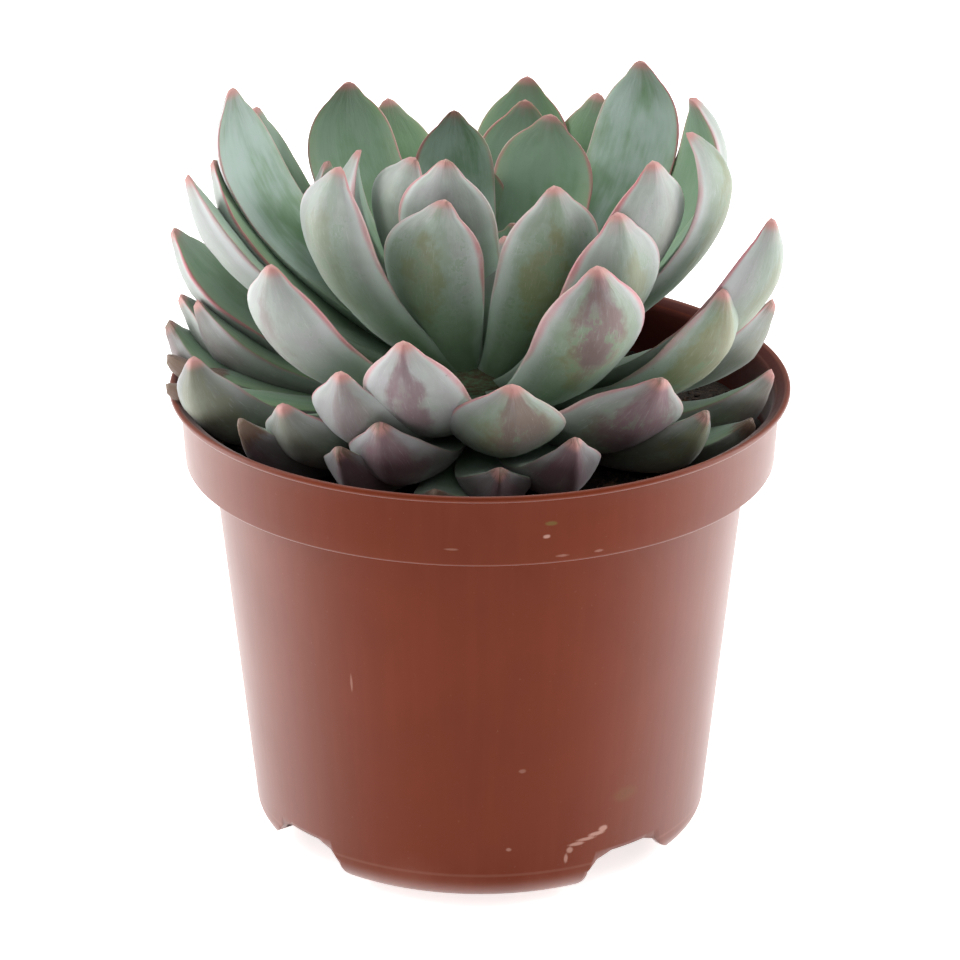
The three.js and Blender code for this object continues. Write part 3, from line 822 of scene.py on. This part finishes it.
def drain_rods(made):
    """Upright rods where the base's drain holes go."""
    places = [(0.0, 0.0)]
    for i in range(DRAIN_COUNT):
        angle = 2 * math.pi * i / DRAIN_COUNT
        places.append((DRAIN_RING_RADIUS * math.cos(angle), DRAIN_RING_RADIUS * math.sin(angle)))
    for x, y in places:
        bmesh.ops.create_cone(
            made,
            cap_ends=True,
            segments=32,
            radius1=DRAIN_RADIUS * MM,
            radius2=DRAIN_RADIUS * MM,
            depth=DRAIN_CUT_DEPTH * MM,
            matrix=Matrix.Translation((x * MM, y * MM, (BASE_Z + DRAIN_CUT_UP) * MM)),
        )


def notch_blocks(made):
    """Arched blocks that cut the skirt into four feet."""
    for i in range(NOTCH_COUNT):
        turn = Matrix.Rotation(math.radians(FIRST_NOTCH_DEG + 360 * i / NOTCH_COUNT), 3, "Z")
        outline = [(-across if i % 2 else across, up) for across, up in NOTCH_OUTLINE]
        rings = [
            [made.verts.new(turn @ Vector((reach, across, up)) * MM) for across, up in outline]
            for reach in NOTCH_REACH
        ]
        made.faces.new(list(reversed(rings[0])))
        made.faces.new(rings[1])
        for j in range(len(NOTCH_OUTLINE)):
            k = (j + 1) % len(NOTCH_OUTLINE)
            made.faces.new((rings[0][j], rings[0][k], rings[1][k], rings[1][j]))


def cutters(name, *shapes):
    """An object that the shapes named are built into."""
    made = bmesh.new()
    for shape in shapes:
        shape(made)
    bmesh.ops.recalc_face_normals(made, faces=made.faces)
    mesh = bpy.data.meshes.new(name)
    made.to_mesh(mesh)
    made.free()
    return add_object(name, mesh, None)


class SUCCULENT_OT_pot(bpy.types.Operator):
    """Adds the moulded pot, with its feet and drain holes."""

    bl_idname = "succulent.pot"
    bl_label = "Add pot"

    def execute(self, context):
        settings = context.scene.succulent_pot
        mesh = revolve("pot_shell", pot_profile(settings), POT_SEGMENTS)
        shell = add_object("pot_shell", mesh, pot_material(settings))
        tools = cutters("pot_cutters", drain_rods, notch_blocks)
        cut = shell.modifiers.new("Drain holes and notches", "BOOLEAN")
        cut.operation = "DIFFERENCE"
        cut.solver = "EXACT"
        cut.object = tools
        piece = applied(shell, "pot_shell")
        bpy.data.objects.remove(tools)
        finish_piece(piece, "pot")
        return {"FINISHED"}


# ---- Growing medium ---------------------------------------------------------------------------
def soil_height(x, y, lumps):
    """Height of the medium's surface in millimetres, where it lies free of the wall."""
    broad = noise.noise(Vector((x * 0.06, y * 0.06, 3.1)))
    fine = noise.fractal(Vector((x * 0.35, y * 0.35, 8.4)), 0.8, 2.2, 4)
    return SOIL_Z + 0.35 + 0.35 * broad + lumps * 0.45 * fine


class SUCCULENT_OT_medium(bpy.types.Operator):
    """Adds the growing medium that fills the pot."""

    bl_idname = "succulent.medium"
    bl_label = "Add growing medium"

    def execute(self, context):
        settings = context.scene.succulent_medium
        wall = context.scene.succulent_pot.wall / MM
        outer = BAND_BASE_RADIUS - wall - GAP
        body = BODY_TOP_RADIUS - wall - GAP
        ledge = BAND_BASE_Z + wall + GAP
        floor_corner = BASE_Z + wall + FLOOR_CORNER
        floor_edge = body_radius(floor_corner) - wall - FLOOR_CORNER
        rounding = FLOOR_CORNER - GAP
        top = [(outer * (1 - i / SOIL_RINGS), SOIL_Z) for i in range(SOIL_RINGS + 1)]
        profile = [
            (0, BASE_Z + wall + GAP),
            *corner((floor_edge, floor_corner), rounding, rounding, -90, 0, 8),
            (body, ledge),
            (outer - 0.3, ledge),
            *top,
        ]
        mesh = revolve("medium", profile, SOIL_SEGMENTS)
        for vertex in mesh.vertices:
            if vertex.co.z > (SOIL_Z - 0.01) * MM:
                x, y = vertex.co.x / MM, vertex.co.y / MM
                vertex.co.z = soil_height(x, y, settings.lumps / MM) * MM
        piece = add_object("medium", mesh, medium_material(settings))
        finish_piece(piece, "soil")
        bed = add_object("crumb_bed", mesh.copy(), None)
        modifier = bed.modifiers.new("Crumbs", "NODES")
        modifier.node_group = crumb_tree()
        values = {"Density": settings.crumbs, "Seed": settings.seed}
        values["Material"] = crumb_material(settings)
        set_inputs(modifier, values)
        finish_piece(applied(bed, "crumbs"), "soil")
        return {"FINISHED"}


def crumb_tree():
    """Scatters lumpy crumbs on the medium's upper surface, clear of the wall."""
    graph, given, finish = new_geometry_tree(
        "Loose crumbs",
        {
            "Density": ("NodeSocketFloat", 400000.0),
            "Seed": ("NodeSocketInt", 1),
            "Material": ("NodeSocketMaterial", None),
        },
    )
    x, y, z = split(graph, graph.node("GeometryNodeInputPosition"))
    radius = graph.math("SQRT", x * x + y * y)
    open_surface = graph.math("GREATER_THAN", z, (SOIL_Z - 0.5) * MM)
    open_surface = open_surface * graph.math("LESS_THAN", radius, (BAND_BASE_RADIUS - 2.4) * MM)
    points = graph.node(
        "GeometryNodeDistributePointsOnFaces",
        {
            "Mesh": given("Geometry"),
            "Selection": open_surface,
            "Density": given("Density"),
            "Seed": given("Seed"),
        },
    )
    points = stored(graph, points, "kind", random_value(graph, given, 1))
    kind = named(graph, "kind")
    is_bark = graph.math("GREATER_THAN", kind, BARK_FROM)
    is_bark = is_bark * graph.math("LESS_THAN", kind, PERLITE_FROM)
    crumb = graph.node("GeometryNodeMeshIcoSphere", {"Radius": 1.0, "Subdivisions": 2}, "Mesh")
    place = graph.node("GeometryNodeInputPosition")
    lumpy = place * (graph.noise(place, 0.9, 2.0) * 0.9 + 0.5)
    crumb = graph.node("GeometryNodeSetPosition", {"Geometry": crumb, "Position": lumpy})
    size = random_value(graph, given, 2) ** 2.0 * 0.0006 + 0.00026
    shape = graph.vector(
        size * (random_value(graph, given, 3) * 0.8 + 0.6 + is_bark * 2.2),
        size * (random_value(graph, given, 4) * 0.6 + 0.6),
        size * (0.75 - is_bark * 0.35),
    )
    turned = graph.vector(
        random_value(graph, given, 5) * 0.9,
        random_value(graph, given, 6) * 0.9,
        random_value(graph, given, 7) * (2 * math.pi),
    )
    crumbs = graph.node(
        "GeometryNodeInstanceOnPoints",
        {"Points": points, "Instance": crumb, "Rotation": turned, "Scale": shape},
    )
    return finish(crumbs)


def random_value(graph, given, shift):
    """A number from 0 to 1 for each point, from the tree's seed."""
    inputs = {"Seed": graph.math("ADD", given("Seed"), float(shift))}
    return graph.node("FunctionNodeRandomValue", inputs, 1, data_type="FLOAT")


# ---- Leaves -------------------------------------------------------------------------------------
def room(azimuth, tip_rise):
    """How far a leaf can reach before it meets the pot's wall, or the pot's edge above it."""
    is_over = CROWN_Z + tip_rise > POT_HIGH.z / MM + OVER_RIM
    radius = POT_HIGH.x / MM - LIP_CLEARANCE if is_over else BAND_BASE_RADIUS - WALL_CLEARANCE
    across = CROWN_Y * math.cos(azimuth)
    return math.sqrt(radius * radius - across * across) - CROWN_Y * math.sin(azimuth)


def leaf_form(n):
    """Leaf number n of the spiral: its midrib's four control points, its sideways direction,
    and its width, thickness and roll."""
    age = n / (LEAF_COUNT - 1)
    young = clamp01(age / YOUNG_UNTIL)
    old = smooth((age - OLD_FROM) / (1 - OLD_FROM))
    turn, lift, extra, roll, widening, bow, sway = LEANING_LEAVES.get(n, UPRIGHT)
    azimuth = math.radians(FIRST_AZIMUTH - n * GOLDEN_ANGLE + turn)
    rise = math.radians(YOUNGEST_RISE * (1 - age) + lift)
    grown = math.sin(math.pi / 2 * clamp01(n / FULL_REACH_AT))
    shortened = smooth((n - SHORTENING[0]) / SHORTENING[1])
    wanted = mix(mix(REACH[0], REACH[1], grown), REACH[2], shortened) + extra
    reach = min(wanted, room(azimuth, wanted * math.sin(rise)) / math.cos(rise))
    root = Vector((ROOT_RADIUS, mix(ROOT_Z[0], ROOT_Z[1], age)))
    tip = Vector((reach * math.cos(rise), CROWN_Z + reach * math.sin(rise)))
    chord = tip - root
    chord_rise = math.atan2(chord.y, chord.x)
    root_bow = math.radians(mix(ROOT_BOW[0], ROOT_BOW[1], clamp01(age / BOWED_FROM)))
    root_bow = min(root_bow, chord_rise + math.radians(ROOT_DROP))
    tip_bow = math.radians(mix(mix(TIP_BOW[0], TIP_BOW[1], young), TIP_BOW[2], old) + bow)
    third = chord.length / 3
    leaving = chord_rise - root_bow
    arriving = chord_rise + tip_bow
    ribs = [
        root,
        root + third * Vector((math.cos(leaving), math.sin(leaving))),
        tip - third * Vector((math.cos(arriving), math.sin(arriving))),
        tip,
    ]
    width = mix(mix(LEAF_WIDTH[0], LEAF_WIDTH[1], young), LEAF_WIDTH[2], old) + widening
    outward = Vector((math.cos(azimuth), math.sin(azimuth), 0))
    side = Vector((-outward.y, outward.x, 0))
    sways = [0, 0, sway / 3, sway]
    points = [
        (outward * rib.x + Vector((0, CROWN_Y, rib.y)) + side * shift) * MM
        for rib, shift in zip(ribs, sways)
    ]
    return {
        "rib_0": points[0],
        "rib_1": points[1],
        "rib_2": points[2],
        "rib_3": points[3],
        "side": side,
        "width": width * MM,
        "channel": CHANNEL * width * (1 - age) * MM,
        "thickness": mix(LEAF_THICKNESS[0], LEAF_THICKNESS[1], age) * MM,
        "roll": math.radians(roll),
        "age": age,
    }


def leaf_plan(seed):
    """A mesh with one vertex for each leaf, which holds the leaf's form and stains."""
    numbers = [n for n in range(-BUD_COUNT, LEAF_COUNT) if n not in LOST_LEAVES]
    rows = []
    for n in numbers:
        draw = random.Random(seed * 1000 + BUD_COUNT + n)
        row = leaf_form(n)
        age = row["age"]
        by_age = (
            draw.uniform(0.0, 0.5),
            draw.uniform(0.0, 0.4) * age + 0.7 * smooth((age - 0.6) / 0.3) * draw.uniform(0.4, 1),
            draw.uniform(0.4, 1.0) * (1 - age),
        )
        row["olive"], row["stain"], row["flush"] = STAINED_LEAVES.get(n, by_age)
        row["dry"] = WITHERED_TIPS.get(n, 0.03 * draw.random() + 0.06 * smooth((age - 0.75) / 0.2))
        row["luck"] = draw.random()
        row["bloom"] = BLOOMED_LEAVES.get(n, draw.uniform(0.2, 0.7) * (1 - 0.5 * age))
        row["keel"] = draw.uniform(0.1, 0.6)
        rows.append(row)
    mesh = bpy.data.meshes.new("leaf_plan")
    mesh.from_pydata([(0, 0, 0)] * len(rows), [], [])
    for name, sample in rows[0].items():
        kind = "FLOAT_VECTOR" if isinstance(sample, Vector) else "FLOAT"
        key = "vector" if isinstance(sample, Vector) else "value"
        stored_values = mesh.attributes.new(name, kind, "POINT").data
        for place, row in zip(stored_values, rows):
            setattr(place, key, row[name])
    return mesh


def named(graph, name, kind="FLOAT"):
    return graph.node("GeometryNodeInputNamedAttribute", {"Name": name}, data_type=kind)


def stored(graph, geometry, name, value):
    inputs = {"Geometry": geometry, "Name": name, "Value": value}
    settings = {"data_type": "FLOAT", "domain": "POINT"}
    return graph.node("GeometryNodeStoreNamedAttribute", inputs, **settings)


def new_geometry_tree(name, inputs):
    """A Geometry Nodes tree with a geometry input and output and the named inputs: the graph,
    the group input as a function, and a function that ends the tree."""
    tree = bpy.data.node_groups.new(name, "GeometryNodeTree")
    tree.interface.new_socket("Geometry", in_out="INPUT", socket_type="NodeSocketGeometry")
    for label, (kind, default) in inputs.items():
        socket = tree.interface.new_socket(label, in_out="INPUT", socket_type=kind)
        if default is not None:
            socket.default_value = default
    tree.interface.new_socket("Geometry", in_out="OUTPUT", socket_type="NodeSocketGeometry")
    group_input = tree.nodes.new("NodeGroupInput")
    graph = Graph(tree)

    def given(label):
        return Value(graph, group_input.outputs[label])

    def finish(geometry):
        output = tree.nodes.new("NodeGroupOutput")
        realized = graph.node("GeometryNodeRealizeInstances", {"Geometry": geometry})
        inputs = {"Geometry": realized, "Material": given("Material")}
        painted = graph.node("GeometryNodeSetMaterial", inputs)
        tree.links.new(painted.socket, output.inputs[0])
        return tree

    return graph, given, finish


def set_inputs(modifier, values):
    """Sets the modifier's inputs, found by name, through their sockets' identifiers."""
    for item in modifier.node_group.interface.items_tree:
        if item.in_out == "INPUT" and item.name in values:
            modifier[item.identifier] = values[item.name]


def leaf_tree():
    """Turns each point of the leaf plan into a thick pointed leaf."""
    graph, given, finish = new_geometry_tree(
        "Leaf blades",
        {
            "Sides": ("NodeSocketInt", 24),
            "Rings": ("NodeSocketInt", 32),
            "Mucro": ("NodeSocketFloat", 0.001),
            "Material": ("NodeSocketMaterial", None),
        },
    )
    blade = unit_blade(graph, given)
    leaves = graph.node(
        "GeometryNodeInstanceOnPoints", {"Points": given("Geometry"), "Instance": blade}
    )
    leaves = graph.node("GeometryNodeRealizeInstances", {"Geometry": leaves})
    inputs = {"Geometry": leaves, "Position": leaf_surface(graph, given)}
    shaped = graph.node("GeometryNodeSetPosition", inputs)
    shaped = graph.node("GeometryNodeSetShadeSmooth", {"Geometry": shaped})
    return finish(shaped)


def unit_blade(graph, given):
    """A sphere whose poles are the leaf's root and tip, marked with the place along the leaf,
    across it, and on its upper (1) or outer (-1) face."""
    inputs = {"Segments": given("Sides"), "Rings": given("Rings"), "Radius": 1.0}
    sphere = graph.node("GeometryNodeMeshUVSphere", inputs)
    position = graph.node("GeometryNodeInputPosition")
    x, y, z = split(graph, position)
    height = graph.math("MAXIMUM", graph.math("MINIMUM", z * -1.0, 1.0), -1.0)
    even = graph.math("ARCCOSINE", height) / math.pi
    along = 1.0 - (1.0 - even) ** 1.35
    radius = graph.math("SQRT", x * x + y * y)
    marked = stored(graph, sphere, "along", along)
    marked = stored(graph, marked, "across", x / radius)
    return stored(graph, marked, "facing", y / radius)


def leaf_surface(graph, given):
    """Where a point of a leaf's surface lies, from its marks and the leaf's form."""
    s = named(graph, "along")
    u = named(graph, "across")
    f = named(graph, "facing")
    width = named(graph, "width")
    thickness = named(graph, "thickness")
    ribs = [named(graph, f"rib_{i}", "FLOAT_VECTOR") for i in range(4)]
    rest = 1.0 - s
    centre = (
        ribs[0] * (rest ** 3) + ribs[1] * (rest * rest * s * 3.0)
        + ribs[2] * (rest * s * s * 3.0) + ribs[3] * (s ** 3)
    )
    tangent = (
        (ribs[1] - ribs[0]) * (rest * rest) + (ribs[2] - ribs[1]) * (rest * s * 2.0)
        + (ribs[3] - ribs[2]) * (s * s)
    )
    tangent = graph.node("ShaderNodeVectorMath", {0: tangent}, operation="NORMALIZE")
    turn = named(graph, "roll") * s
    side = graph.node(
        "ShaderNodeVectorRotate",
        {"Vector": named(graph, "side", "FLOAT_VECTOR"), "Axis": tangent, "Angle": turn},
        rotation_type="AXIS_ANGLE",
    )
    normal = graph.node("ShaderNodeVectorMath", {0: tangent, 1: side}, operation="CROSS_PRODUCT")
    swelling = graph.math("SINE", clamped(graph, s / WIDEST_AT) * (math.pi / 2)) ** 1.6
    past = clamped(graph, (s - WIDEST_AT) / (1 - WIDEST_AT))
    share = (swelling * (1 - ROOT_SHARE) + ROOT_SHARE) * ((1.0 - past ** 3) ** 0.8)
    spike = graph.ease(s, SPIKE_FROM, 1.0)
    half = graph.math("MAXIMUM", width * share * 0.5, (1.0 - spike) * (SPIKE_HALF_WIDTH * MM))
    edge = graph.math("ABSOLUTE", u)
    round_section = f * f * 0.65 + graph.math("ABSOLUTE", f) * 0.35
    keel = graph.ease(s, 0.45, 0.9) * named(graph, "keel")
    belly = round_section + ((1.0 - edge) - round_section) * keel
    thin = graph.math("MINIMUM", s * 0.6 + 0.55, 1.0)
    thick = thickness * thin * graph.math("SQRT", clamped(graph, (1.0 - s) / TIP_ROUNDING))
    channel = named(graph, "channel") * graph.math("SINE", (s * 0.9 + 0.1) * math.pi)
    is_upper = graph.math("GREATER_THAN", f, 0.0)
    swell = is_upper * round_section * UPPER_BULGE - (1.0 - is_upper) * belly * LOWER_BULGE
    rise = channel * u * u + thick * swell
    wavy = graph.noise(centre * 90.0 + graph.vector(u * 0.6, 0.0, 0.0), 1.0, 2.0) - 0.5
    rise = rise + wavy * 0.0009 * graph.ease(s, 0.1, 0.5) * graph.ease(s, 1.0, 0.8)
    placed = centre + side * (u * half) + normal * rise + tangent * (spike * given("Mucro"))
    return over_rim(graph, placed)


def over_rim(graph, place):
    """The place, lifted where it would lie in the medium, the pot's wall or its lip."""
    x, y, z = split(graph, place)
    radius = graph.math("SQRT", x * x + y * y)
    ramps = [
        graph.ease(radius, start * MM, end * MM) * (height * MM)
        for start, end, height in (WALL_RAMP, LIP_RAMP)
    ]
    lowest = ramps[0] + ramps[1] + (SOIL_Z + REST_ABOVE) * MM
    return graph.vector(x, y, graph.math("MAXIMUM", z, lowest))


def clamped(graph, value):
    return graph.math("MINIMUM", graph.math("MAXIMUM", value, 0.0), 1.0)


class SUCCULENT_OT_rosette(bpy.types.Operator):
    """Adds the rosette's leaves, in their spiral."""

    bl_idname = "succulent.rosette"
    bl_label = "Add leaves"

    def execute(self, context):
        settings = context.scene.succulent_rosette
        material = leaf_material(settings)
        plan = add_object("leaf_plan", leaf_plan(settings.seed), None)
        modifier = plan.modifiers.new("Leaves", "NODES")
        modifier.node_group = leaf_tree()
        set_inputs(
            modifier,
            {
                "Sides": settings.sides,
                "Rings": settings.rings,
                "Mucro": settings.mucro,
                "Material": material,
            },
        )
        piece = applied(plan, "leaves")
        finish_piece(piece, "rosette")
        profile = [
            (0, STEM_FOOT_Z),
            *corner((STEM_RADIUS - 1, STEM_FOOT_Z + 1), 1, 1, -90, 0, 4),
            (STEM_RADIUS, SOIL_Z + 1.4),
            *corner((HEART_RADIUS - 3, HEART_Z + 3), 3, 3, -40, 60, 8),
            (0, HEART_TOP_Z),
        ]
        stem = revolve("stem", subdivided(profile, 1.5), 48, (0, CROWN_Y))
        finish_piece(add_object("stem", stem, stem_material(settings)), "rosette")
        return {"FINISHED"}


# ---- Stage --------------------------------------------------------------------------------------
# Name, place, target and size in metres, and power in watts.
LIGHTS = (
    ("left_softbox", (-0.85, 0.12, 0.36), (0, 0, 0.06), (0.5, 0.9), 10),
    ("right_softbox", (0.85, 0.12, 0.36), (0, 0, 0.06), (0.5, 0.9), 10),
    ("front_fill", (0, -0.75, 0.85), (0, 0, 0.08), (0.9, 0.6), 1.4),
    ("top_softbox", (0, 0.25, 1.1), (0, 0.05, 0.05), (1.3, 1.0), 11),
)
FLOOR_CORNERS = ((-6, -6, 0), (6, -6, 0), (6, 6, 0), (-6, 6, 0))
WORLD_LIGHT = 0.16


def add_area_light(name, place, target, size, power):
    light = bpy.data.lights.new(name, "AREA")
    light.shape = "RECTANGLE"
    light.size, light.size_y = size
    light.energy = power
    lamp = bpy.data.objects.new(name, light)
    bpy.context.scene.collection.objects.link(lamp)
    lamp.location = place
    lamp.rotation_mode = "QUATERNION"
    lamp.rotation_quaternion = (Vector(target) - Vector(place)).to_track_quat("-Z", "Y")


def add_camera(settings):
    camera = bpy.data.objects.new("camera", bpy.data.cameras.new("camera"))
    bpy.context.scene.collection.objects.link(camera)
    camera.data.sensor_width = 36
    camera.data.lens = settings.lens
    camera.data.clip_start = 0.05
    camera.data.clip_end = 50
    back = Vector((0, -math.cos(settings.elevation), math.sin(settings.elevation)))
    camera.location = Vector((0, 0, settings.target_height)) + back * settings.distance
    camera.rotation_mode = "QUATERNION"
    camera.rotation_quaternion = back.to_track_quat("Z", "Y")
    bpy.context.scene.camera = camera


class SUCCULENT_OT_stage(bpy.types.Operator):
    """Adds the floor, the lights and the camera."""

    bl_idname = "succulent.stage"
    bl_label = "Add stage"

    def execute(self, context):
        settings = context.scene.succulent_stage
        graph, finish = new_material("floor")
        paper = graph.noise(object_point(graph), 0.01, 2.0)
        shade = graph.blend(paper * 0.06, settings.floor, tuple(c * 0.97 for c in settings.floor))
        paint = {"Base Color": shade, "Roughness": 0.9}
        paint.update({"Emission Color": (1.0, 1.0, 1.0, 1.0), "Emission Strength": settings.glow})
        mesh = bpy.data.meshes.new("floor")
        mesh.from_pydata(FLOOR_CORNERS, [], [(0, 1, 2, 3)])
        floor = add_object("floor", mesh, finish(paint))
        floor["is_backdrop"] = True
        for light in LIGHTS:
            add_area_light(*light)
        world = bpy.data.worlds.new("studio")
        world.use_nodes = True
        background = world.node_tree.nodes["Background"]
        background.inputs["Color"].default_value = (1, 1, 1, 1)
        background.inputs["Strength"].default_value = WORLD_LIGHT
        context.scene.world = world
        context.scene.view_settings.view_transform = "Standard"
        add_camera(settings)
        return {"FINISHED"}


# ---- Panel and registration ---------------------------------------------------------------------
OPERATORS = (
    SUCCULENT_OT_stage,
    SUCCULENT_OT_pot,
    SUCCULENT_OT_medium,
    SUCCULENT_OT_rosette,
)
SETTINGS = {
    "succulent_pot": PotSettings,
    "succulent_medium": MediumSettings,
    "succulent_rosette": RosetteSettings,
    "succulent_stage": StageSettings,
}


class SUCCULENT_PT_panel(bpy.types.Panel):
    """Lists the pieces and their sizes and colours."""

    bl_idname = "SUCCULENT_PT_panel"
    bl_label = "Potted succulent"
    bl_space_type = "VIEW_3D"
    bl_region_type = "UI"
    bl_category = "Succulent"

    def draw(self, context):
        for operator in OPERATORS:
            self.layout.operator(operator.bl_idname)
        for name, settings in SETTINGS.items():
            box = self.layout.box()
            for key in settings.__annotations__:
                box.prop(getattr(context.scene, name), key)


def register():
    for group in (*SETTINGS.values(), *OPERATORS, SUCCULENT_PT_panel):
        bpy.utils.register_class(group)
    for name, group in SETTINGS.items():
        setattr(bpy.types.Scene, name, PointerProperty(type=group))


def unregister():
    for name in SETTINGS:
        delattr(bpy.types.Scene, name)
    for group in (SUCCULENT_PT_panel, *reversed(OPERATORS), *reversed(SETTINGS.values())):
        bpy.utils.unregister_class(group)


def main():
    register()
    for operator in OPERATORS:
        group, name = operator.bl_idname.split(".")
        getattr(getattr(bpy.ops, group), name)()
    boxes = {"cad": CAD_BOX, "visual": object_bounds()}
    sizes = {name: [list(low), list(high)] for name, (low, high) in boxes.items()}


if __name__ == "__main__":
    main()
